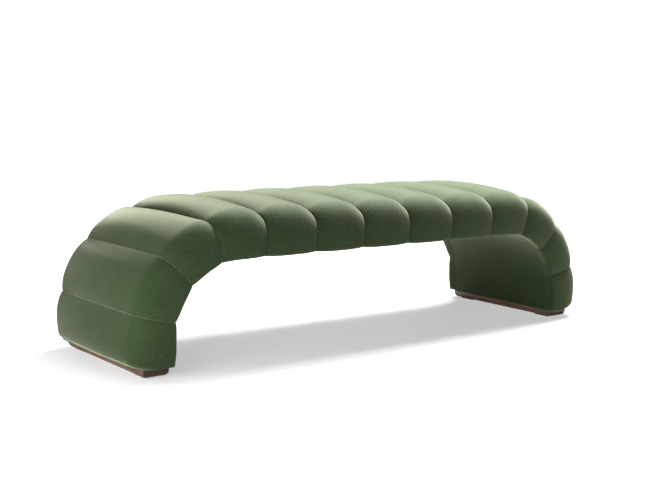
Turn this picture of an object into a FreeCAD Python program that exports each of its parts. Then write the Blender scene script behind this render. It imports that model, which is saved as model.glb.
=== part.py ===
import FreeCAD, Part
import math
import os

# Arch bench covered in velvet: a run of padded channels goes up one leg, over the seat and down the
# other leg. Under the velvet a shell of slotted plywood carries foam, and each leg stands on a
# walnut plinth. Millimetres; X runs along the bench, Y from front to back and Z up. The origin is on
# the floor, under the middle of the seat.

# Outline of the arch, measured at the velvet of its inner face
seat_flat_length = 1036.0
clear_height = 306.0
bend_radius = 205.0

# Channels: seams lie at equal steps along a line inside the padding
channels_each_side = 6
pitch_line_height = 121.0
end_channel_share = 0.86

# Layers from the inner face outward
velvet = 2.0
wadding = 8.0
skin = 5.0
rib_depth = 66.0
top_foam = 26.0
cover_over_top = 15.0

# How far a channel's crown stands above its seams: the most on the seat, less where the cover is
# pulled over the bends and down the legs
seat_crown_rise = 32.0
leg_crown_rise = 25.0
seat_channels_each_side = 2

# Layers from the ribs out to the front and back
frame_width = 424.0
side_foam = 15.0
seam_edge_inset = 11.0
full_edge_inset = 2.0
cover_over_side = 34.0
side_rise = 8.0
edge_rise = 3.0

# Rounding of the padding across the bench, at a seam and at the fullest place of a channel. The
# shoulder turns from the side to the crown, and starts at a depth below the crown's summit. Below
# it the side is upright, and the rest of its height curves in to the edge of the inner face.
seam_shoulder_radius = 50.0
full_shoulder_radius = 35.0
seam_shoulder_depth = 60.0
full_shoulder_depth = 65.0
seam_curve_share = 0.84
full_curve_share = 0.42

# Plywood carcass
ply = 18.0
tab_height = 30.0
foot_board = 18.0

# Tapes that hold the seams down to the deck
tape = 1.2

# Dust cover of black cloth, stapled over the end of each leg before its plinth goes on
dust_cloth = 1.0
dust_cloth_inset = 10.0

# Walnut plinth under each leg
plinth_height = 25.0
plinth_width = 77.0
plinth_length = 480.0
plinth_offset = 12.5
plinth_bottom_radius = 15.0

# Felt pads under each plinth
pad_height = 3.0
pad_width = 18.0
pad_length = 60.0
pad_end_distance = 24.0
pad_side_distance = 15.0

# Loose tenons of beech, glued half into a plinth and half into its foot board
tenons_per_plinth = 2
tenon_thickness = 10.0
tenon_length = 60.0
tenon_in_plinth = 17.0
tenon_in_board = 13.0
tenon_end_distance = 110.0

# Cutting tools run this far past what they cut
overrun = 20.0

# Two heights closer than this are the same
same_height = 0.001

# Heights of the layers above the inner face, along the outward normal
height_skin_in = velvet + wadding
height_ribs = height_skin_in + skin
height_deck = height_ribs + rib_depth
height_foam = height_deck + skin
height_foam_top = height_foam + top_foam
height_seam = height_foam_top + cover_over_top

# Half widths of the layers
half_frame = frame_width / 2
half_foam = half_frame + side_foam
half_seam = half_foam + cover_over_side

# Levels and lengths along the arch
half_flat = seat_flat_length / 2
bend_centre_height = clear_height - bend_radius
plinth_top = pad_height + plinth_height
leg_bottom = plinth_top + dust_cloth
board_top = leg_bottom + foot_board
pitch_radius = bend_radius + pitch_line_height
bend_length = pitch_radius * math.pi / 2
half_path = half_flat + bend_length + bend_centre_height - leg_bottom
pitch = half_path / (channels_each_side - 0.5 + end_channel_share)
seam_stations = [(k + 0.5) * pitch for k in range(channels_each_side)]
leg_inner = half_flat + bend_radius

Y = FreeCAD.Vector(0, 1, 0)
Z = FreeCAD.Vector(0, 0, 1)
ORIGIN = FreeCAD.Vector(0, 0, 0)


def station(along):
    """The point on the inner face and the outward normal's angle from vertical, at a distance along
    the pitch line to the right of the bench's middle."""
    if along <= half_flat:
        return FreeCAD.Vector(along, 0, clear_height), 0.0
    if along <= half_flat + bend_length:
        angle = (along - half_flat) / pitch_radius
        x = half_flat + bend_radius * math.sin(angle)
        z = bend_centre_height + bend_radius * math.cos(angle)
        return FreeCAD.Vector(x, 0, z), angle
    drop = along - half_flat - bend_length
    return FreeCAD.Vector(leg_inner, 0, bend_centre_height - drop), math.pi / 2


def place(shape, along):
    """Moves a shape modelled with its inner face at z 0 to its station on the right half."""
    point, angle = station(along)
    moved = shape.copy()
    moved.Placement = FreeCAD.Placement(point, FreeCAD.Rotation(Y, math.degrees(angle))).multiply(
        moved.Placement
    )
    return moved


def mirrored(shape):
    """The same piece on the left half of the bench."""
    return shape.mirror(ORIGIN, FreeCAD.Vector(1, 0, 0))


def box(low, high):
    """A block between two corners."""
    size = high - low
    return Part.makeBox(size.x, size.y, size.z, low)


def arc(start, middle, end):
    return Part.Arc(start, middle, end).toShape()


def line(start, end):
    return Part.LineSegment(start, end).toShape()


def arch_outline(low, high, bottom):
    """Closed outline of one layer of the arch in the XZ plane, between two heights above the inner
    face, from one leg's bottom over the seat to the other's."""
    edges = []
    rings = []
    for height in (low, high):
        radius = bend_radius + height
        diagonal = radius * math.sqrt(0.5)
        leg = half_flat + radius
        top = bend_centre_height + radius
        rings.append(
            [
                FreeCAD.Vector(-leg, 0, bottom),
                FreeCAD.Vector(-leg, 0, bend_centre_height),
                FreeCAD.Vector(-half_flat - diagonal, 0, bend_centre_height + diagonal),
                FreeCAD.Vector(-half_flat, 0, top),
                FreeCAD.Vector(half_flat, 0, top),
                FreeCAD.Vector(half_flat + diagonal, 0, bend_centre_height + diagonal),
                FreeCAD.Vector(leg, 0, bend_centre_height),
                FreeCAD.Vector(leg, 0, bottom),
            ]
        )
    for ring in rings:
        edges.append(line(ring[0], ring[1]))
        edges.append(arc(ring[1], ring[2], ring[3]))
        edges.append(line(ring[3], ring[4]))
        edges.append(arc(ring[4], ring[5], ring[6]))
        edges.append(line(ring[6], ring[7]))
    edges.append(line(rings[0][0], rings[1][0]))
    edges.append(line(rings[0][-1], rings[1][-1]))
    return Part.Wire(Part.__sortEdges__(edges))


def arch_layer(low, high, near, far, bottom=leg_bottom):
    """One layer of the arch as a solid, between two heights and from y near to y far."""
    face = Part.Face(arch_outline(low, high, bottom))
    face.translate(Y * near)
    return face.extrude(Y * (far - near))


def slice_in_x(layer, first, last):
    """The part of an arch layer between two x places."""
    depth = half_seam + overrun
    window = box(
        FreeCAD.Vector(first, -depth, -overrun),
        FreeCAD.Vector(last, depth, clear_height + height_seam + overrun),
    )
    return layer.common(window)


def between(at_seam, at_fullest, fullness):
    """A size of the padding, between its value at a seam and at the fullest place."""
    return at_seam + (at_fullest - at_seam) * fullness


def padding_section(along, fullness, crown_rise):
    """Outline of the padding across the bench: a tucked-in edge, an upright side, a round shoulder
    and a crowned top. Fullness is 0 at a seam and 1 where the channel stands proudest."""
    half = half_seam + side_rise * fullness
    top = height_seam + crown_rise * fullness
    radius = between(seam_shoulder_radius, full_shoulder_radius, fullness)
    depth = between(seam_shoulder_depth, full_shoulder_depth, fullness)
    curve_share = between(seam_curve_share, full_curve_share, fullness)
    half_edge = half_foam + between(seam_edge_inset, full_edge_inset, fullness)
    inward = half - radius
    shoulder_height = top - depth
    crown_radius = (inward**2 + depth**2 - radius**2) / (2 * (depth - radius))
    crown_angle = math.asin(inward / (crown_radius - radius))
    edge = FreeCAD.Vector(0, half_edge, -edge_rise * fullness)
    side_foot = FreeCAD.Vector(0, half, shoulder_height * curve_share)
    tuck = half - half_edge
    rise = side_foot.z - edge.z
    side_radius = (tuck**2 + rise**2) / (2 * tuck)
    side_angle = math.atan2(rise, side_radius - tuck) / 2
    side_middle = FreeCAD.Vector(
        0,
        half - side_radius * (1 - math.cos(side_angle)),
        side_foot.z - side_radius * math.sin(side_angle),
    )
    side_head = FreeCAD.Vector(0, half, shoulder_height)
    turn = (math.pi / 2 - crown_angle) / 2
    shoulder_middle = FreeCAD.Vector(
        0, inward + radius * math.cos(turn), shoulder_height + radius * math.sin(turn)
    )
    shoulder_end = FreeCAD.Vector(
        0,
        inward + radius * math.sin(crown_angle),
        shoulder_height + radius * math.cos(crown_angle),
    )
    summit = FreeCAD.Vector(0, 0, top)

    def back(point):
        return FreeCAD.Vector(0, -point.y, point.z)

    edges = [
        line(back(edge), edge),
        arc(edge, side_middle, side_foot),
        line(side_foot, side_head),
        arc(side_head, shoulder_middle, shoulder_end),
        arc(shoulder_end, summit, back(shoulder_end)),
        arc(back(shoulder_end), back(shoulder_middle), back(side_head)),
        line(back(side_head), back(side_foot)),
        arc(back(side_foot), back(side_middle), back(edge)),
    ]
    return place(Part.Wire(edges), along)


# Sections across a channel: their places as shares of its width, and how full it is at each
place_shares = [0.0, 0.14, 0.5, 0.86, 1.0]
fullness_shares = [0.0, 0.68, 1.0, 0.68, 0.0]

# What the channels are stretched over
foam_body = arch_layer(-overrun, height_foam_top, -half_foam, half_foam, leg_bottom - overrun)


def channel(first, last, crown_rise):
    """One padded velvet channel of the right half: it swells between its two seams and lies on the
    foam inside."""
    sections = []
    for share, fullness in zip(place_shares, fullness_shares):
        sections.append(padding_section(first + (last - first) * share, fullness, crown_rise))
    return Part.makeLoft(sections, True, True).cut(foam_body)


def middle_channel():
    """The channel over the bench's middle, between the first seam on each side."""
    sections = []
    width = 2 * seam_stations[0]
    for share, fullness in zip(place_shares, fullness_shares):
        wire = padding_section(0, fullness, seat_crown_rise)
        wire.translate(FreeCAD.Vector(width * (share - 0.5), 0, 0))
        sections.append(wire)
    return Part.makeLoft(sections, True, True).cut(foam_body)


parts = {}


# Cross rails: plywood plates that stand across the arch under each seam
def rail():
    """A rail with a tab at each end and a slot from below that crosses the centre rib."""
    half_ply = ply / 2
    inside = half_frame - ply
    body = box(
        FreeCAD.Vector(-half_ply, -inside, height_ribs), FreeCAD.Vector(half_ply, inside, height_deck)
    )
    slot = box(
        FreeCAD.Vector(-half_ply - overrun, -half_ply, height_ribs - overrun),
        FreeCAD.Vector(half_ply + overrun, half_ply, (height_ribs + height_deck) / 2),
    )
    return body.fuse(rail_tabs()).removeSplitter().cut(slot)


def rail_tabs():
    half_ply = ply / 2
    middle = (height_ribs + height_deck) / 2
    return box(
        FreeCAD.Vector(-half_ply, -half_frame, middle - tab_height / 2),
        FreeCAD.Vector(half_ply, half_frame, middle + tab_height / 2),
    )


def rib_notch():
    """The upper half of a crossing, where a rail drops into the centre rib."""
    half_ply = ply / 2
    return box(
        FreeCAD.Vector(-half_ply, -half_ply, (height_ribs + height_deck) / 2),
        FreeCAD.Vector(half_ply, half_ply, height_deck + overrun),
    )


def at_each_seam(shape):
    """A shape at every seam of both halves, from left to right."""
    right = [place(shape, along) for along in seam_stations]
    return [mirrored(s) for s in reversed(right)] + right


for number, shape in enumerate(at_each_seam(rail()), 1):
    parts[f"cross_rail_{number:02d}"] = shape

# Ribs: plywood arches, the outer two with mortises and the centre one with notches
mortises = Part.makeCompound(at_each_seam(rail_tabs()))
notches = Part.makeCompound(at_each_seam(rib_notch()))
parts["front_rib"] = arch_layer(
    height_ribs, height_deck, -half_frame, ply - half_frame, board_top
).cut(mortises)
parts["back_rib"] = arch_layer(
    height_ribs, height_deck, half_frame - ply, half_frame, board_top
).cut(mortises)
parts["centre_rib"] = arch_layer(height_ribs, height_deck, -ply / 2, ply / 2, board_top).cut(notches)

# Skins of bending plywood over and under the ribs
outer_skin = arch_layer(height_deck, height_foam, -half_frame, half_frame)
inner_skin = arch_layer(height_skin_in, height_ribs, -half_frame, half_frame)
parts["seat_deck"] = slice_in_x(outer_skin, -half_flat, half_flat)
parts["underside_skin"] = slice_in_x(inner_skin, -half_flat, half_flat)
for name, layer in (("outer_skin", outer_skin), ("inner_skin", inner_skin)):
    leg_skin = slice_in_x(layer, half_flat, leg_inner + height_seam)
    parts[f"left_{name}"] = mirrored(leg_skin)
    parts[f"right_{name}"] = leg_skin

# Foam: slabs over the top with a tape between each two, and a plate on each side of the carcass
tape_blank = box(
    FreeCAD.Vector(-tape / 2, -half_foam - overrun, height_foam),
    FreeCAD.Vector(tape / 2, half_foam + overrun, height_foam_top + overrun),
)
tapes = Part.makeCompound(at_each_seam(tape_blank))
top_layer = arch_layer(height_foam, height_foam_top, -half_foam, half_foam)
parts["top_foam"] = top_layer.cut(tapes)
parts["seam_tapes"] = top_layer.common(tapes)
parts["front_side_foam"] = arch_layer(height_skin_in, height_foam, -half_foam, -half_frame)
parts["back_side_foam"] = arch_layer(height_skin_in, height_foam, half_frame, half_foam)

# Inner face: wadding and one plain velvet panel
parts["inner_wadding"] = arch_layer(velvet, height_skin_in, -half_foam, half_foam)
parts["inner_velvet_panel"] = arch_layer(0, velvet, -half_foam, half_foam)

# Velvet channels, from the left leg's bottom to the right leg's
ends = seam_stations + [half_path]
rises = [seat_crown_rise] * seat_channels_each_side
rises += [leg_crown_rise] * (channels_each_side - seat_channels_each_side)
right_channels = [channel(*span) for span in zip(ends[:-1], ends[1:], rises)]
left_channels = [mirrored(shape) for shape in reversed(right_channels)]
parts["velvet_channels"] = Part.makeCompound(left_channels + [middle_channel()] + right_channels)


# At the end of each leg: foot board, dust cloth, walnut plinth, tenons and felt pads
def plinth_blank():
    """A walnut block with upright corners and a rounded edge all round its foot."""
    low = FreeCAD.Vector(leg_inner + plinth_offset, -plinth_length / 2, pad_height)
    high = FreeCAD.Vector(low.x + plinth_width, plinth_length / 2, plinth_top)
    block = box(low, high)
    foot = [e for e in block.Edges if all(abs(v.Z - low.z) < same_height for v in e.Vertexes)]
    return block.makeFillet(plinth_bottom_radius, foot)


def tenon_places():
    """Points on the foot board's underside, in a row over the plinth's middle."""
    x = leg_inner + plinth_offset + plinth_width / 2
    reach = plinth_length / 2 - tenon_end_distance
    step = 2 * reach / (tenons_per_plinth - 1)
    return [FreeCAD.Vector(x, -reach + step * k, leg_bottom) for k in range(tenons_per_plinth)]


def tenon(joint):
    """A loose tenon that stands in the plinth, goes through the dust cloth and ends in the board."""
    half = FreeCAD.Vector(tenon_thickness / 2, tenon_length / 2, 0)
    foot = Z * (tenon_in_plinth + dust_cloth)
    return box(joint - half - foot, joint + half + Z * tenon_in_board)


def pad_places():
    """Low corners of the felt pads, two at each end of a plinth."""
    x = leg_inner + plinth_offset
    near = FreeCAD.Vector(x + pad_side_distance, pad_end_distance - plinth_length / 2, 0)
    far_x = x + plinth_width - pad_side_distance - pad_width
    far_y = plinth_length / 2 - pad_end_distance - pad_length
    return [FreeCAD.Vector(px, py, 0) for px in (near.x, far_x) for py in (near.y, far_y)]


def leg_pieces():
    """The pieces under the right leg, by name."""
    tenons = Part.makeCompound([tenon(p) for p in tenon_places()])
    pad_size = FreeCAD.Vector(pad_width, pad_length, pad_height)
    board = box(
        FreeCAD.Vector(leg_inner + height_ribs, -half_frame, leg_bottom),
        FreeCAD.Vector(leg_inner + height_deck, half_frame, board_top),
    )
    cloth_reach = half_foam - dust_cloth_inset
    cloth_near = leg_inner + dust_cloth_inset
    cloth_far = leg_inner + height_foam_top - dust_cloth_inset
    cloth = box(
        FreeCAD.Vector(cloth_near, -cloth_reach, plinth_top),
        FreeCAD.Vector(cloth_far, cloth_reach, leg_bottom),
    )
    return {
        "foot_board": board.cut(tenons),
        "dust_cloth": cloth.cut(tenons),
        "plinth": plinth_blank().cut(tenons),
        "plinth_tenons": tenons,
        "felt_pads": Part.makeCompound([box(p, p + pad_size) for p in pad_places()]),
    }


for name, shape in leg_pieces().items():
    parts[f"right_{name}"] = shape
    parts[f"left_{name}"] = mirrored(shape)

os.makedirs("parts", exist_ok=True)
for name, shape in parts.items():
    solids = shape.Solids
    result = solids[0] if len(solids) == 1 else Part.makeCompound(solids)
    result.exportStep(f"parts/{name}.step")
    print(name, len(solids), round(result.Volume / 1000, 1), result.isValid())
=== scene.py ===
import math
import bmesh
import bpy
import numpy as np
from mathutils import Matrix, Vector


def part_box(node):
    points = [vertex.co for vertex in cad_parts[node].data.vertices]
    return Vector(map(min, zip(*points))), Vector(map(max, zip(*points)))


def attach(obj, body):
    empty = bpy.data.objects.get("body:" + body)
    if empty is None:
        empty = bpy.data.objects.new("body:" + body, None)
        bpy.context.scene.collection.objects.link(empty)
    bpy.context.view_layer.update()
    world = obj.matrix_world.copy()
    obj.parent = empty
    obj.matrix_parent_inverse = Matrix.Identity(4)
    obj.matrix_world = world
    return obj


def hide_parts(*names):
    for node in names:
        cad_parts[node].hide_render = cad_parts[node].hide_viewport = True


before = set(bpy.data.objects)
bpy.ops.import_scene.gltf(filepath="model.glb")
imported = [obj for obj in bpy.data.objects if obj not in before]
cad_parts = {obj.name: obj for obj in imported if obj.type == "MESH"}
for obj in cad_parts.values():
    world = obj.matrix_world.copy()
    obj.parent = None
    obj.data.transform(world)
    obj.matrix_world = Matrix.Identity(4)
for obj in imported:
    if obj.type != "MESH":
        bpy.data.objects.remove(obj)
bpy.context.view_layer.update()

# Plywood carcass: ribs, cross rails, skins and foot boards of birch plywood, cut, slotted together,
# glued and stapled. Padding covers all of it, so only a cut cover would show it.
veneer = 0.0015
growth_ring = 0.009


def linear(code):
    """An sRGB hex colour as linear red, green, blue and alpha."""
    shares = [int(code[k : k + 2], 16) / 255 for k in (0, 2, 4)]
    return [c / 12.92 if c <= 0.04045 else ((c + 0.055) / 1.055) ** 2.4 for c in shares] + [1.0]


def add_node(tree, kind, settings, links=()):
    """Adds a node. Settings name its properties, its input sockets or the stops of its ramp, and
    links pair an input socket with the output that feeds it."""
    node = tree.nodes.new(kind)
    for key, value in settings.items():
        if key == "stops":
            for place, colour in value[2:]:
                node.color_ramp.elements.new(place)
            for stop, (place, colour) in zip(node.color_ramp.elements, value):
                stop.position = place
                stop.color = linear(colour)
        elif isinstance(key, int) or key in node.inputs:
            node.inputs[key].default_value = value
        else:
            setattr(node, key, value)
    for key, source in links:
        tree.links.new(source, node.inputs[key])
    return node


def new_material(name):
    """An empty material and its node tree."""
    material = bpy.data.materials.new(name)
    material.use_nodes = True
    material.node_tree.nodes.clear()
    return material, material.node_tree


def birch_plywood():
    """Sanded birch: pale, with a faint figure along the face and thin dark glue lines."""
    material, tree = new_material("birch_plywood_sanded")
    place = add_node(tree, "ShaderNodeTexCoord", {}).outputs["Object"]
    figure = add_node(
        tree,
        "ShaderNodeTexNoise",
        {"Scale": 1 / growth_ring, "Detail": 4.0, "Distortion": 1.5},
        [("Vector", place)],
    )
    plies = add_node(
        tree,
        "ShaderNodeTexWave",
        {"Scale": 1 / (2 * math.pi * veneer), "Distortion": 0.4, "bands_direction": "Y"},
        [("Vector", place)],
    )
    tint = add_node(
        tree,
        "ShaderNodeValToRGB",
        {"stops": [(0.3, "CDB28A"), (0.7, "E2CBA6")]},
        [("Fac", figure.outputs["Fac"])],
    )
    relief = add_node(
        tree,
        "ShaderNodeBump",
        {"Strength": 0.15, "Distance": 0.0002},
        [("Height", plies.outputs["Fac"])],
    )
    shader = add_node(
        tree,
        "ShaderNodeBsdfPrincipled",
        {"Roughness": 0.62, "IOR": 1.5},
        [("Base Color", tint.outputs["Color"]), ("Normal", relief.outputs["Normal"])],
    )
    add_node(tree, "ShaderNodeOutputMaterial", {}, [("Surface", shader.outputs["BSDF"])])
    return material


def dress(name, material):
    """Gives a piece of the CAD its material."""
    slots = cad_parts[name].data.materials
    slots.clear()
    slots.append(material)


plywood_nodes = [f"cross_rail_{number:02d}" for number in range(1, 13)]
plywood_nodes += ["front_rib", "back_rib", "centre_rib", "seat_deck", "underside_skin"]
for side in ("left", "right"):
    plywood_nodes += [f"{side}_outer_skin", f"{side}_inner_skin", f"{side}_foot_board"]
plywood = birch_plywood()
for name in plywood_nodes:
    dress(name, plywood)

# Loose tenons: planed beech, glued through the dust cloth into plinth and foot board. Nothing of
# them shows once the plinths are on.
beech_fleck = 0.004


def planed_beech():
    """Planed beech: warm and even, with short flecks along the grain."""
    material, tree = new_material("beech_planed")
    place = add_node(tree, "ShaderNodeTexCoord", {}).outputs["Object"]
    fleck = add_node(
        tree, "ShaderNodeTexNoise", {"Scale": 1 / beech_fleck, "Detail": 3.0}, [("Vector", place)]
    )
    tint = add_node(
        tree,
        "ShaderNodeValToRGB",
        {"stops": [(0.35, "B98F66"), (0.65, "D0A982")]},
        [("Fac", fleck.outputs["Fac"])],
    )
    shader = add_node(
        tree,
        "ShaderNodeBsdfPrincipled",
        {"Roughness": 0.55, "IOR": 1.5},
        [("Base Color", tint.outputs["Color"])],
    )
    add_node(tree, "ShaderNodeOutputMaterial", {}, [("Surface", shader.outputs["BSDF"])])
    return material


beech = planed_beech()
for side in ("left", "right"):
    dress(f"{side}_plinth_tenons", beech)

# Padded cover: panels of cotton velvet quilted over fibre and foam, sewn together edge to edge. Each
# seam is pulled down to the carcass by a tape, so that every channel swells between two seams.
channels_each_side = 6
velvet = 0.002
seam_gap = 0.0011
# The channels have one pitch along a line this high above the inner face. The last one on each leg is
# narrower.
pitch_line_height = 0.121
end_channel_share = 0.86
# Each pair holds a measure over the seat and on a leg, for a section at a seam or for a full one, in
# the middle of a channel. The seat's measures turn into the leg's round the bend.
height_seam = (0.119, 0.125)
crown_rise = (0.039, 0.020)
seam_shoulder_radius = (0.060, 0.050)
full_shoulder_radius = (0.073, 0.053)
seam_shoulder_depth = (0.063, 0.054)
full_shoulder_depth = (0.087, 0.067)
seat_to_leg_reach = 0.41
seat_to_leg_lead = 0.15
half_seam = 0.263
side_swell = 0.007
edge_sag = 0.003
edge_radius = 0.012
edge_lip = 0.0015
lip_leans = np.radians([30.0, 60.0, 90.0])
seam_upper_lean = math.radians(5.0)
full_upper_lean = math.radians(14.0)
lower_lean = math.radians(11.0)
seam_waist_share = 0.85
full_waist_share = 0.7
# Each leg's end channel is tucked in at its hem.
hem_tuck = 0.028
hem_reach = 0.022
foam_clearance = 0.0003
fullness_power = 3.0
fullness_bend = 0.97
# Points along each stretch of a section, from its inner edge to its crown. A channel's sections crowd
# towards its seams, apart from a share that is spaced evenly.
under_points = 5
edge_points = 6
lower_points = 8
upper_points = 8
shoulder_points = 16
crown_points = 40
channel_rows = 49
even_share = 0.4
# Patches of leaning nap, and the tufts of the pile.
nap_patch = 0.09
nap_share = 0.3
pile_tuft = 0.0045

panel_low, panel_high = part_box("inner_velvet_panel")
half_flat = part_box("seat_deck")[1].x
clear_height = panel_high.z - velvet
bend_radius = panel_high.x - velvet - half_flat
bend_centre_height = clear_height - bend_radius
half_foam = panel_high.y
foam_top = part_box("top_foam")[1].z - clear_height
leg_bottom = panel_low.z
pitch_radius = bend_radius + pitch_line_height
bend_length = pitch_radius * math.pi / 2
half_path = half_flat + bend_length + bend_centre_height - leg_bottom
pitch = half_path / (channels_each_side - 0.5 + end_channel_share)
seams = [(k - channels_each_side + 0.5) * pitch for k in range(2 * channels_each_side)]
spans = list(zip([-half_path] + seams, seams + [half_path]))


def on_arch(along, y, height):
    """Points of the row frame at a distance along the pitch line from the bench's middle, a depth y
    and a height above the arch's inner face."""
    distance = np.abs(along)
    turn = np.clip((distance - half_flat) / pitch_radius, 0, math.pi / 2)
    drop = np.maximum(distance - half_flat - bend_length, 0)
    x = np.minimum(distance, half_flat) + (bend_radius + height) * np.sin(turn)
    z = bend_centre_height - drop + (bend_radius + height) * np.cos(turn)
    return np.stack(np.broadcast_arrays(np.sign(along) * x, y, z), axis=-1)


def fullness_at(share):
    """How full a channel is at a share of its width: it rises steeply from a seam and is broad in
    its middle."""
    return (1 - np.abs(2 * share - 1) ** fullness_power) ** fullness_bend


def between(first, last, share):
    """A value part of the way from first to last."""
    return first + (last - first) * share


def arc(centre_y, centre_z, radius, first, last, steps):
    """Depths and heights round a centre, one row per section, up to but without the last lean."""
    lean = first + (last - first) * np.linspace(0, 1, steps, endpoint=False)[None]
    return centre_y + radius * np.cos(lean), centre_z + radius * np.sin(lean)


def padding_sections(along, fullness):
    """Depths and heights round the padding, one row for each place along the arch, from the front
    edge over the crown to the back edge. The padding is rounder over the seat than on the legs."""
    f = fullness[:, None]
    distance = np.abs(along[:, None])
    leg = np.clip((distance - half_flat + seat_to_leg_lead) / seat_to_leg_reach, 0, 1)
    leg = leg**2 * (3 - 2 * leg)
    hem = np.clip(1 - (half_path - distance) / hem_reach, 0, 1)
    half = half_seam + side_swell * f
    top = between(*height_seam, leg) + between(*crown_rise, leg) * f
    top = top - hem_tuck * (1 - np.sqrt(1 - hem**2))
    bottom = -edge_sag * f
    radius = between(between(*seam_shoulder_radius, leg), between(*full_shoulder_radius, leg), f)
    depth = between(between(*seam_shoulder_depth, leg), between(*full_shoulder_depth, leg), f)
    shoulder = top - depth
    waist = shoulder * between(seam_waist_share, full_waist_share, f)
    upper_lean = between(seam_upper_lean, full_upper_lean, f)
    # Two arcs meet in a common tangent, so that a radius follows from the next one and its lean.
    upper_radius = (shoulder - waist) / np.sin(upper_lean) + radius
    inward = half - upper_radius + (upper_radius - radius) * np.cos(upper_lean)
    crown_radius = (inward**2 + depth**2 - radius**2) / (2 * (depth - radius))
    crown_lean = np.arcsin(inward / (crown_radius - radius))
    lower_radius = (waist - bottom - edge_radius) / math.sin(lower_lean) + edge_radius
    edge_y = half - lower_radius + (lower_radius - edge_radius) * math.cos(lower_lean)

    inner_y = half_foam + foam_clearance + edge_lip
    under = np.linspace(0, 1, under_points, endpoint=False)[None]
    parts = [
        (inner_y + (edge_y - inner_y) * under, bottom * under),
        arc(edge_y, bottom + edge_radius, edge_radius, -math.pi / 2, -lower_lean, edge_points),
        arc(half - lower_radius, waist, lower_radius, -lower_lean, 0, lower_points),
        arc(half - upper_radius, waist, upper_radius, 0, upper_lean, upper_points),
        arc(inward, shoulder, radius, upper_lean, math.pi / 2 - crown_lean, shoulder_points),
    ]
    crown = crown_lean * np.linspace(1, 0, crown_points)[None]
    parts.append((crown_radius * np.sin(crown), top - crown_radius + crown_radius * np.cos(crown)))
    y = np.hstack([part[0] for part in parts])
    z = np.hstack([part[1] for part in parts])
    return np.hstack([-y, y[:, -2::-1]]), np.hstack([z, z[:, -2::-1]])


def foam_side(rows):
    """The rest of each loop: the cover's edge rolled in, and its back that lies on the foam."""
    inside = half_foam + foam_clearance
    wall_y = np.hstack([inside + edge_lip * (1 - np.sin(lip_leans)), [inside, inside]])
    wall_z = edge_lip * (1 - np.cos(lip_leans))
    wall_z = np.hstack([wall_z, [2 * edge_lip, foam_top + foam_clearance]])
    loop_y = np.hstack([wall_y, -wall_y[::-1]])
    loop_z = np.hstack([wall_z, wall_z[::-1]])
    return np.tile(loop_y, (rows, 1)), np.tile(loop_z, (rows, 1))


def cut_velvet():
    """Cut-pile velvet: upright cotton pile that looks dark face on and pale at a grazing angle, with
    faint patches where the nap leans another way."""
    material, tree = new_material("velvet_cotton_cut_pile")
    place = add_node(tree, "ShaderNodeTexCoord", {}).outputs["Object"]
    patches = add_node(
        tree, "ShaderNodeTexNoise", {"Scale": 1 / nap_patch, "Detail": 2.0}, [("Vector", place)]
    )
    tufts = add_node(
        tree, "ShaderNodeTexNoise", {"Scale": 1 / pile_tuft, "Detail": 3.0}, [("Vector", place)]
    )
    mixed = add_node(
        tree,
        "ShaderNodeMath",
        {"operation": "MULTIPLY_ADD", 1: nap_share},
        [(0, patches.outputs["Fac"]), (2, tufts.outputs["Fac"])],
    )
    tint = add_node(
        tree,
        "ShaderNodeValToRGB",
        {"stops": [(0.3, "203016"), (1.0, "38482B")]},
        [("Fac", mixed.outputs["Value"])],
    )
    relief = add_node(
        tree,
        "ShaderNodeBump",
        {"Strength": 0.8, "Distance": pile_tuft / 4},
        [("Height", tufts.outputs["Fac"])],
    )
    shader = add_node(
        tree,
        "ShaderNodeBsdfPrincipled",
        {
            "Roughness": 0.9,
            "IOR": 1.45,
            "Specular IOR Level": 0.2,
            "Sheen Weight": 0.48,
            "Sheen Roughness": 0.45,
            "Sheen Tint": linear("EEF6D6"),
        },
        [("Base Color", tint.outputs["Color"]), ("Normal", relief.outputs["Normal"])],
    )
    add_node(tree, "ShaderNodeOutputMaterial", {}, [("Surface", shader.outputs["BSDF"])])
    return material


sharp_corner = math.radians(50.0)


def mesh_object(name, points, faces, material):
    """A smooth-shaded mesh piece that rides on the bench, sharp only at its real corners."""
    mesh = bpy.data.meshes.new(name)
    mesh.from_pydata([tuple(p) for p in points], [], faces)
    mesh.validate()
    mesh.shade_smooth()
    mesh.set_sharp_from_angle(angle=sharp_corner)
    mesh.materials.append(material)
    piece = bpy.data.objects.new(name, mesh)
    bpy.context.scene.collection.objects.link(piece)
    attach(piece, "root")
    return piece


# Loft of the padding, settled by a short cloth simulation: the whole cover is one sheet, held at its
# seams, edges and hems, and the fibre pushes it out. The sheet has a row for every loft_rows-th part of
# a channel and a column for every loft_step-th point of a section.
loft_rows = 14
loft_step = 2
sim_frames = 20
start_share = 0.94
# At a seam the cloth is longer than drawn by this share, which falls to nothing over a sixth of a
# channel, 1 / slack_fall.
slack_growth = 0.03
slack_fall = 6
# What the simulation moves is capped, and fades out towards seams and edges.
cap = 0.004
hold_width = 0.006
hold_points = 3


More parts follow.
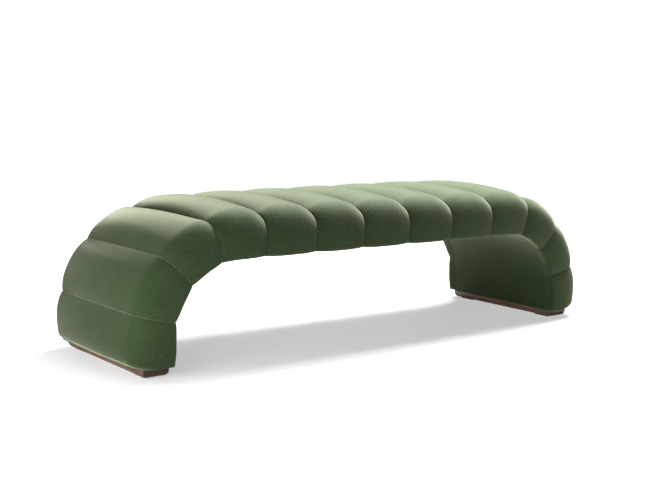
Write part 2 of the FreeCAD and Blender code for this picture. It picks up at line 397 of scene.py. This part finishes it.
def settled_loft():
    """Where the cover lies after the cloth simulation, as points in rows and columns."""
    rows_y, rows_z, rows_along, rows_free = [], [], [], []
    for number, (first, last) in enumerate(spans):
        share = np.linspace(0, 1, loft_rows + 1)[1 if number else 0 :]
        along = first + (last - first) * share
        y, z = padding_sections(along, fullness_at(share) * start_share)
        rows_y.append(y[:, ::loft_step])
        rows_z.append(z[:, ::loft_step])
        rows_along.append(along)
        rows_free.append(np.minimum(1, slack_fall * np.minimum(share, 1 - share)))
    y, z, along = np.vstack(rows_y), np.vstack(rows_z), np.hstack(rows_along)
    start = on_arch(along[:, None], y, z)
    rows, columns = y.shape
    quads = []
    for r in range(rows - 1):
        for c in range(columns - 1):
            k = r * columns + c
            quads.append((k, k + columns, k + columns + 1, k + 1))
    mesh = bpy.data.meshes.new("cover_sheet")
    mesh.from_pydata([tuple(p) for p in start.reshape(-1, 3)], [], quads)
    sheet = bpy.data.objects.new("cover_sheet", mesh)
    bpy.context.scene.collection.objects.link(sheet)
    held = sheet.vertex_groups.new(name="held")
    slack = sheet.vertex_groups.new(name="slack")
    for r, free in enumerate(np.hstack(rows_free)):
        row = list(range(r * columns, (r + 1) * columns))
        held.add([row[0], row[-1]] if free else row, 1.0, "REPLACE")
        slack.add(row, float(1 - free), "REPLACE")
    # Quilted velvet: heavy, hard to stretch and stiff to bend.
    settings = sheet.modifiers.new("cloth", "CLOTH").settings
    settings.quality = 6
    settings.mass = 0.35
    settings.tension_stiffness = 25
    settings.compression_stiffness = 25
    settings.shear_stiffness = 12
    settings.bending_stiffness = 1.5
    settings.vertex_group_mass = "held"
    settings.use_pressure = True
    settings.uniform_pressure_force = 4.0
    settings.effector_weights.gravity = 0
    settings.vertex_group_shrink = "slack"
    settings.shrink_min = 0.0
    settings.shrink_max = -slack_growth
    scene = bpy.context.scene
    for step in range(1, sim_frames + 1):
        scene.frame_set(step)
    result = sheet.evaluated_get(bpy.context.evaluated_depsgraph_get()).to_mesh()
    moved = np.empty(len(result.vertices) * 3)
    result.vertices.foreach_get("co", moved)
    bpy.data.objects.remove(sheet)
    bpy.data.meshes.remove(mesh)
    scene.frame_set(1)
    return moved.reshape(rows, columns, 3)


def spline_weights(places, count):
    """Weights of a cubic B-spline over count samples, at places in steps of one sample."""
    weights = np.zeros((len(places), count))
    for row, place in zip(weights, places):
        near = min(int(place), count - 2)
        t = place - near
        shares = [(1 - t) ** 3, 3 * t**3 - 6 * t**2 + 4, 3 * t * (1 + t - t**2) + 1, t**3]
        for offset, weight in zip(range(-1, 3), shares):
            row[min(max(near + offset, 0), count - 1)] += weight / 6
    return weights


def channel(number, settled):
    """One padded channel between two seams, as a closed form round the foam."""
    first, last = spans[number]
    spread = np.linspace(0, 1, channel_rows)
    share = even_share * spread + (1 - even_share) * (0.5 - 0.5 * np.cos(math.pi * spread))
    along = first + seam_gap + (last - first - 2 * seam_gap) * share
    y, z = padding_sections(along, fullness_at(share))
    outer = on_arch(along[:, None], y, z)
    if settled is not None:
        coarse = np.linspace(0, 1, loft_rows + 1)
        coarse_along = first + (last - first) * coarse
        coarse_y, coarse_z = padding_sections(coarse_along, fullness_at(coarse))
        plain = on_arch(coarse_along[:, None], coarse_y[:, ::loft_step], coarse_z[:, ::loft_step])
        moved = settled[number * loft_rows : (number + 1) * loft_rows + 1] - plain
        length = np.linalg.norm(moved, axis=-1, keepdims=True)
        moved = moved * (cap / np.maximum(length, cap))
        across = spline_weights(np.arange(y.shape[1]) / loft_step, moved.shape[1])
        lengthwise = spline_weights(share * loft_rows, loft_rows + 1)
        offset = np.einsum("rk,klx,cl->rcx", lengthwise, moved, across)
        hold = np.minimum(1, np.minimum(share, 1 - share) * (last - first) / hold_width)[:, None]
        reach = np.minimum(1, np.arange(y.shape[1]) / hold_points)
        hold = hold * np.minimum(reach, reach[::-1])[None]
        outer = outer + offset * hold[..., None]
    back_y, back_z = foam_side(len(along))
    points = np.concatenate([outer, on_arch(along[:, None], back_y, back_z)], axis=1)
    rows, columns = points.shape[:2]
    faces = []
    for r in range(rows - 1):
        for c in range(columns):
            n = (c + 1) % columns
            near, far = r * columns, (r + 1) * columns
            faces.append((near + c, near + n, far + n, far + c))
    faces.append(tuple(range(columns - 1, -1, -1)))
    faces.append(tuple((rows - 1) * columns + c for c in range(columns)))
    return mesh_object(f"velvet_channel_{number + 1:02d}", points.reshape(-1, 3), faces, green_velvet)


green_velvet = cut_velvet()
settled_cover = settled_loft()
for number in range(len(spans)):
    cover = channel(number, settled_cover)
    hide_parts("velvet_channels", "top_foam", "seam_tapes", "front_side_foam", "back_side_foam")

# Inner panel: one plain length of the same velvet over wadding, stretched along the arch's inner face
# from one leg's end to the other's and caught under the edges of the cover.
panel_rows = 180
panel_columns = 30


def inner_panel():
    """The panel as a thin closed sheet, with its pile towards the opening."""
    along = np.linspace(-half_path, half_path, panel_rows)
    across = np.linspace(-half_foam, half_foam, panel_columns)
    points = []
    for height in (0.0, velvet):
        points.append(on_arch(along[:, None], across[None], height).reshape(-1, 3))
    count = panel_rows * panel_columns
    faces = []
    for r in range(panel_rows - 1):
        for c in range(panel_columns - 1):
            k = r * panel_columns + c
            quad = (k, k + panel_columns, k + panel_columns + 1, k + 1)
            faces.append(quad)
            faces.append(tuple(count + v for v in reversed(quad)))
    rim = [r * panel_columns for r in range(panel_rows)]
    rim += [(panel_rows - 1) * panel_columns + c for c in range(1, panel_columns)]
    rim += [r * panel_columns + panel_columns - 1 for r in range(panel_rows - 2, -1, -1)]
    rim += list(range(panel_columns - 2, 0, -1))
    for k, here in enumerate(rim):
        after = rim[(k + 1) % len(rim)]
        faces.append((here, count + here, count + after, after))
    return mesh_object("inner_velvet_sheet", np.vstack(points), faces, green_velvet)


panel = inner_panel()
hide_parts("inner_velvet_panel", "inner_wadding")

# Dust cloths: one sheet of black non-woven under each leg, stretched over the leg's end and stapled
# there before the plinth goes on. Each has a slit for every tenon.
cloth_rows = 24
cloth_columns = 6
tenon_length = 0.060
fibre_width = 0.0006


def bonded_cloth():
    """Black non-woven: matt, of short fibres that lie every way and are bonded by heat."""
    material, tree = new_material("non_woven_black_bonded")
    place = add_node(tree, "ShaderNodeTexCoord", {}).outputs["Object"]
    fibres = add_node(
        tree, "ShaderNodeTexNoise", {"Scale": 1 / fibre_width, "Detail": 3.0}, [("Vector", place)]
    )
    relief = add_node(
        tree,
        "ShaderNodeBump",
        {"Strength": 0.3, "Distance": fibre_width / 4},
        [("Height", fibres.outputs["Fac"])],
    )
    shader = add_node(
        tree,
        "ShaderNodeBsdfPrincipled",
        {"Base Color": linear("1C1B1C"), "Roughness": 0.92, "IOR": 1.5, "Specular IOR Level": 0.2},
        [("Normal", relief.outputs["Normal"])],
    )
    add_node(tree, "ShaderNodeOutputMaterial", {}, [("Surface", shader.outputs["BSDF"])])
    return material


def stapled_sheet(name, low, high, slits):
    """A closed thin sheet between two corners, left open where a slit lets a tenon through."""
    corners = [corner for slit in slits for corner in slit]
    xs = sorted({*np.linspace(low.x, high.x, cloth_columns), *(corner.x for corner in corners)})
    ys = sorted({*np.linspace(low.y, high.y, cloth_rows), *(corner.y for corner in corners)})
    built = bmesh.new()
    rows = [[built.verts.new((x, y, low.z)) for x in xs] for y in ys]
    for r in range(len(ys) - 1):
        for c in range(len(xs) - 1):
            middle = Vector(((xs[c] + xs[c + 1]) / 2, (ys[r] + ys[r + 1]) / 2))
            if any(a.x < middle.x < b.x and a.y < middle.y < b.y for a, b in slits):
                continue
            built.faces.new((rows[r][c], rows[r][c + 1], rows[r + 1][c + 1], rows[r + 1][c]))
    sheet = bmesh.ops.extrude_face_region(built, geom=built.faces[:])
    moved = [v for v in sheet["geom"] if isinstance(v, bmesh.types.BMVert)]
    bmesh.ops.translate(built, vec=(0, 0, high.z - low.z), verts=moved)
    bmesh.ops.delete(built, geom=[v for v in built.verts if not v.link_faces], context="VERTS")
    bmesh.ops.recalc_face_normals(built, faces=built.faces[:])
    # The extrusion gives its faces in no fixed order, so they are sorted.
    points = sorted(tuple(v.co) for v in built.verts)
    faces = sorted([points.index(tuple(v.co)) for v in face.verts] for face in built.faces)
    built.free()
    mesh = bpy.data.meshes.new(name)
    mesh.from_pydata(points, [], faces)
    mesh.materials.append(black_cloth)
    piece = bpy.data.objects.new(name, mesh)
    bpy.context.scene.collection.objects.link(piece)
    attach(piece, "root")
    return piece


black_cloth = bonded_cloth()
for side in ("left", "right"):
    low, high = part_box(f"{side}_dust_cloth")
    tenons_low, tenons_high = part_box(f"{side}_plinth_tenons")
    slits = []
    for near in (tenons_low.y, tenons_high.y - tenon_length):
        slits.append((Vector((tenons_low.x, near)), Vector((tenons_high.x, near + tenon_length))))
    cloth = stapled_sheet(f"{side}_dust_sheet", low, high, slits)
    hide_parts(f"{side}_dust_cloth")

# Plinths: solid American walnut, planed, sanded and lacquered, with the grain along the block and
# the edge round its foot rounded over.
grain_width = 0.006
grain_length = 0.22
pore_width = 0.0006
pore_length = 0.012
# A face is painted darker, as painted shade on the ends of the block, as its normal leans along the
# block, from the first share to the second.
end_shade_from = 0.6
end_shade_to = 0.95
end_painted_shade = 0.3


def lacquered_walnut():
    """Walnut under clear satin lacquer: brown with a rose cast, darker late wood in long streaks,
    fine pores, and painted shade that darkens the end faces, where the grain is cut across."""
    material, tree = new_material("walnut_solid_lacquered")
    coordinates = add_node(tree, "ShaderNodeTexCoord", {})
    place = coordinates.outputs["Object"]
    along = add_node(
        tree,
        "ShaderNodeMapping",
        {"Scale": (1 / grain_width, 1 / grain_length, 1 / grain_width)},
        [("Vector", place)],
    )
    streaks = add_node(
        tree,
        "ShaderNodeTexNoise",
        {"Scale": 1.0, "Detail": 5.0, "Distortion": 0.6},
        [("Vector", along.outputs["Vector"])],
    )
    fine = add_node(
        tree,
        "ShaderNodeMapping",
        {"Scale": (1 / pore_width, 1 / pore_length, 1 / pore_width)},
        [("Vector", place)],
    )
    pores = add_node(
        tree, "ShaderNodeTexNoise", {"Scale": 1.0, "Detail": 2.0}, [("Vector", fine.outputs["Vector"])]
    )
    tint = add_node(
        tree,
        "ShaderNodeValToRGB",
        {"stops": [(0.3, "57402F"), (0.5, "735746"), (0.72, "8A6D5A")]},
        [("Fac", streaks.outputs["Fac"])],
    )
    # The end faces get painted shade: the colour darkens as the normal leans along the block.
    facing = add_node(tree, "ShaderNodeSeparateXYZ", {}, [("Vector", coordinates.outputs["Normal"])])
    end_facing = add_node(
        tree, "ShaderNodeMath", {"operation": "ABSOLUTE"}, [(0, facing.outputs["Y"])]
    )
    shade = add_node(
        tree,
        "ShaderNodeMapRange",
        {
            "From Min": end_shade_from,
            "From Max": end_shade_to,
            "To Min": 1.0,
            "To Max": end_painted_shade,
        },
        [("Value", end_facing.outputs["Value"])],
    )
    shaded = add_node(
        tree,
        "ShaderNodeVectorMath",
        {"operation": "SCALE"},
        [("Vector", tint.outputs["Color"]), ("Scale", shade.outputs["Result"])],
    )
    relief = add_node(
        tree,
        "ShaderNodeBump",
        {"Strength": 0.25, "Distance": 0.0003},
        [("Height", pores.outputs["Fac"])],
    )
    shader = add_node(
        tree,
        "ShaderNodeBsdfPrincipled",
        {"Roughness": 0.45, "IOR": 1.5},
        [("Base Color", shaded.outputs["Vector"]), ("Normal", relief.outputs["Normal"])],
    )
    add_node(tree, "ShaderNodeOutputMaterial", {}, [("Surface", shader.outputs["BSDF"])])
    return material


walnut = lacquered_walnut()
for side in ("left", "right"):
    dress(f"{side}_plinth", walnut)

# Felt pads: pressed wool felt, punched and glued under the plinths so the bench slides and does not
# mark a floor.
fibre = 0.0008


def pressed_felt():
    """Pressed wool felt: dark grey, fully matt and slightly hairy."""
    material, tree = new_material("wool_felt_pressed")
    place = add_node(tree, "ShaderNodeTexCoord", {}).outputs["Object"]
    hairs = add_node(tree, "ShaderNodeTexNoise", {"Scale": 1 / fibre, "Detail": 4.0}, [("Vector", place)])
    tint = add_node(
        tree,
        "ShaderNodeValToRGB",
        {"stops": [(0.35, "2E2C2A"), (0.65, "45423F")]},
        [("Fac", hairs.outputs["Fac"])],
    )
    shader = add_node(
        tree,
        "ShaderNodeBsdfPrincipled",
        {"Roughness": 0.95, "IOR": 1.5, "Specular IOR Level": 0.15},
        [("Base Color", tint.outputs["Color"])],
    )
    add_node(tree, "ShaderNodeOutputMaterial", {}, [("Surface", shader.outputs["BSDF"])])
    return material


felt = pressed_felt()
for side in ("left", "right"):
    dress(f"{side}_felt_pads", felt)

# Studio: a plain pale floor, a long soft light overhead, two on the left, a dim one behind on the
# right and dim light all round. The floor glows a little, most of all away from the bench.
floor_reach = 30.0
floor_glow = 0.48
floor_bounce = 0.12
glow_stretch = (1.0, 1.3, 0.0)
glow_shift = (-0.06, 0.0, 0.0)
glow_from = 0.9
glow_to = 1.15
floor_mesh = bpy.data.meshes.new("floor")
floor_mesh.from_pydata(
    [
        (-floor_reach, -floor_reach, 0),
        (floor_reach, -floor_reach, 0),
        (floor_reach, floor_reach, 0),
        (-floor_reach, floor_reach, 0),
    ],
    [],
    [(0, 1, 2, 3)],
)
floor = bpy.data.objects.new("floor", floor_mesh)
bpy.context.scene.collection.objects.link(floor)
material, tree = new_material("floor_white_paint")
rays = add_node(tree, "ShaderNodeLightPath", {})
place = add_node(tree, "ShaderNodeTexCoord", {}).outputs["Object"]
squeezed = add_node(
    tree,
    "ShaderNodeVectorMath",
    {"operation": "MULTIPLY_ADD", 1: glow_stretch, 2: glow_shift},
    [(0, place)],
)
away = add_node(
    tree, "ShaderNodeVectorMath", {"operation": "LENGTH"}, [(0, squeezed.outputs["Vector"])]
)
fade = add_node(
    tree,
    "ShaderNodeMapRange",
    {"From Min": glow_from, "From Max": glow_to, "To Min": floor_glow, "To Max": 1.0},
    [("Value", away.outputs["Value"])],
)
for_ray = add_node(
    tree,
    "ShaderNodeMapRange",
    {"To Min": floor_bounce, "To Max": 1.0},
    [("Value", rays.outputs["Is Camera Ray"])],
)
glow_share = add_node(
    tree,
    "ShaderNodeMath",
    {"operation": "MULTIPLY"},
    [(0, fade.outputs["Result"]), (1, for_ray.outputs["Result"])],
)
glow = add_node(tree, "ShaderNodeEmission", {}, [("Strength", glow_share.outputs["Value"])])
paint = add_node(tree, "ShaderNodeBsdfDiffuse", {"Color": linear("C4C4C4")})
lit = add_node(
    tree, "ShaderNodeAddShader", {}, [(0, paint.outputs["BSDF"]), (1, glow.outputs["Emission"])]
)
add_node(tree, "ShaderNodeOutputMaterial", {}, [("Surface", lit.outputs["Shader"])])
floor_mesh.materials.append(material)

world = bpy.data.worlds.new("studio")
world.use_nodes = True
bpy.context.scene.world = world
tree = world.node_tree
tree.nodes.clear()
rays = add_node(tree, "ShaderNodeLightPath", {})
fill = add_node(tree, "ShaderNodeBackground", {"Color": linear("FFFFFF"), "Strength": 0.04})
backdrop = add_node(tree, "ShaderNodeBackground", {"Color": linear("FFFFFF"), "Strength": 1.0})
choice = add_node(
    tree,
    "ShaderNodeMixShader",
    {},
    [
        (0, rays.outputs["Is Camera Ray"]),
        (1, fill.outputs["Background"]),
        (2, backdrop.outputs["Background"]),
    ],
)
add_node(tree, "ShaderNodeOutputWorld", {}, [("Surface", choice.outputs["Shader"])])


def softbox(name, place, target, size, power, spread=180.0):
    """A soft light that faces a point, in metres, watts and degrees. A narrow spread stands for a
    grid over the box."""
    light = bpy.data.lights.new(name, "AREA")
    light.shape = "RECTANGLE"
    light.size, light.size_y = size
    light.energy = power
    light.spread = math.radians(spread)
    lamp = bpy.data.objects.new(name, light)
    lamp.location = place
    lamp.rotation_euler = (Vector(target) - Vector(place)).to_track_quat("-Z", "Y").to_euler()
    bpy.context.scene.collection.objects.link(lamp)


softbox("overhead_softbox", (1.2, 0.45, 2.15), (0.3, 0.0, 0.4), (1.6, 0.5), 245.0)
softbox("left_softbox", (-2.3, -0.8, 0.6), (-0.8, 0.0, 0.2), (0.9, 0.7), 29.0)
softbox("left_grid_softbox", (-2.0, -1.5, 0.5), (-0.87, -0.15, 0.12), (0.5, 0.5), 0.8, spread=32.0)
softbox("right_softbox", (2.6, 1.6, 1.6), (0.2, 0.0, 0.4), (1.6, 1.6), 28.0)

# Camera: a normal lens from the front left, a little above the seat.
eye = Vector((-2.2365, -2.9994, 0.7871))
azimuth = math.radians(-36.18)
dip = math.radians(8.0)
roll = math.radians(0.55)
focal_pixels = 1184.1
image_width = 650
ahead = Vector((-math.sin(azimuth) * math.cos(dip), math.cos(azimuth) * math.cos(dip), -math.sin(dip)))
rightward = Vector((math.cos(azimuth), math.sin(azimuth), 0))
upward = rightward.cross(ahead)
camera_x = math.cos(roll) * rightward + math.sin(roll) * upward
camera_y = math.cos(roll) * upward - math.sin(roll) * rightward
camera_data = bpy.data.cameras.new("camera")
camera_data.sensor_width = 36.0
camera_data.lens = camera_data.sensor_width * focal_pixels / image_width
camera = bpy.data.objects.new("camera", camera_data)
camera.matrix_world = Matrix.Translation(eye) @ Matrix((camera_x, camera_y, -ahead)).transposed().to_4x4()
bpy.context.scene.collection.objects.link(camera)
bpy.context.scene.camera = camera
bpy.context.scene.view_settings.view_transform = "Standard"
